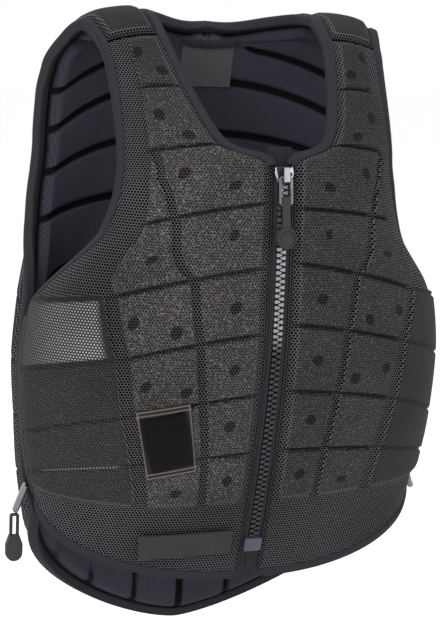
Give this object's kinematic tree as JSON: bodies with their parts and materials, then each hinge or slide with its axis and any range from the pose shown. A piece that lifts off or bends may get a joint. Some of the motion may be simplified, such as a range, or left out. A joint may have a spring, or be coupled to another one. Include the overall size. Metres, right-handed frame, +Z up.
{
  "type": "padded body protector vest",
  "caption": "Sleeveless padded riding protector with front zip, shoulder pads, bound armholes and neck, side zips and a long rounded back.",
  "frame": {"origin": "on the middle plane at shoulder level, between the shoulder straps, where the wearer's shoulders carry it", "axes": "+Z up, -Y out of the front zip, +X towards the wearer's left"},
  "size_m": [0.4023, 0.2615, 0.6054],
  "materials": {
    "mesh": "padded mesh fabric, charcoal",
    "binding": "woven edge tape, charcoal",
    "tape": "woven zip tape, dark grey",
    "gunmetal": "polished gunmetal",
    "silver": "bright nickel",
    "rubber": "soft dark rubber",
    "frame": "brown grey moulding",
    "gloss": "glossy black panel",
    "badge": "bare grey rubber",
    "label": "bare woven label, dark grey"
  },
  "bodies": {
    "vest": {"front_panel_right": "mesh", "front_panel_left": "mesh", "shoulder_pad_right": "mesh", "shoulder_pad_left": "mesh", "back_panel": "mesh", "front_binding_right": "binding", "front_binding_left": "binding", "neck_binding_right": "binding", "neck_binding_left": "binding", "back_binding": "binding", "back_neck_binding": "binding", "hanging_loop": "binding", "zip_tape_right": "tape", "zip_tape_left": "tape", "zip_tail": "tape", "side_zip_right": "tape", "side_zip_left": "tape", "zip_teeth_right": "gunmetal", "zip_teeth_left": "gunmetal", "zip_slider": "silver", "side_slider_right": "silver", "side_slider_left": "silver", "side_pull_right": "rubber", "side_pull_left": "rubber", "strap_holder_frame": "frame", "zip_retainer": "frame", "strap_holder_panel": "gloss", "hem_badge": "badge", "neck_label": "label"},
    "zip_pull": {"zip_pull_link": "gunmetal", "zip_pull_tab": "rubber"}
  },
  "joints": [
    {"name": "zip_pull_hinge", "type": "hinge", "parent": "vest", "child": "zip_pull", "pos_m": [0, -0.12288, -0.11659], "axis": [-1, 0, 0], "range_deg": [0, 160]}
  ]
}
